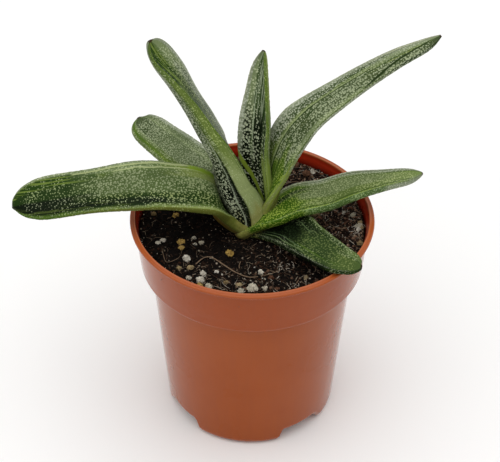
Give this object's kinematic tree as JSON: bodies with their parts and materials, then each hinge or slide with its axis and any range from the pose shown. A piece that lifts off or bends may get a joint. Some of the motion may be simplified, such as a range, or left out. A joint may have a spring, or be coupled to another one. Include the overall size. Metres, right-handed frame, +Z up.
{
  "type": "potted gasteria plant",
  "caption": "Young gasteria with thick speckled tongue-shaped leaves spreading from a short stem, in potting soil in a round terracotta-coloured plastic nursery pot.",
  "frame": {"origin": "on the ground plane, at the middle of the pot's flat floor", "axes": "+Z up; the pot turns round the Z axis, the longest leaf points to -X and the lower right leaf crosses the rim towards +X and -Y"},
  "size_m": [0.2061, 0.1221, 0.1998],
  "materials": {
    "pot_plastic": "satin",
    "potting_soil": "matte, crumbly",
    "stem_tissue": "matte",
    "leaf_tissue": "satin, waxy"
  },
  "bodies": {
    "root": {"pot": "pot_plastic", "soil": "potting_soil", "stem": "stem_tissue", "leaf_centre": "leaf_tissue", "leaf_upper_right": "leaf_tissue", "leaf_left": "leaf_tissue", "leaf_tall": "leaf_tissue", "leaf_right": "leaf_tissue", "leaf_back_left": "leaf_tissue", "leaf_lower_right": "leaf_tissue"}
  },
  "joints": []
}
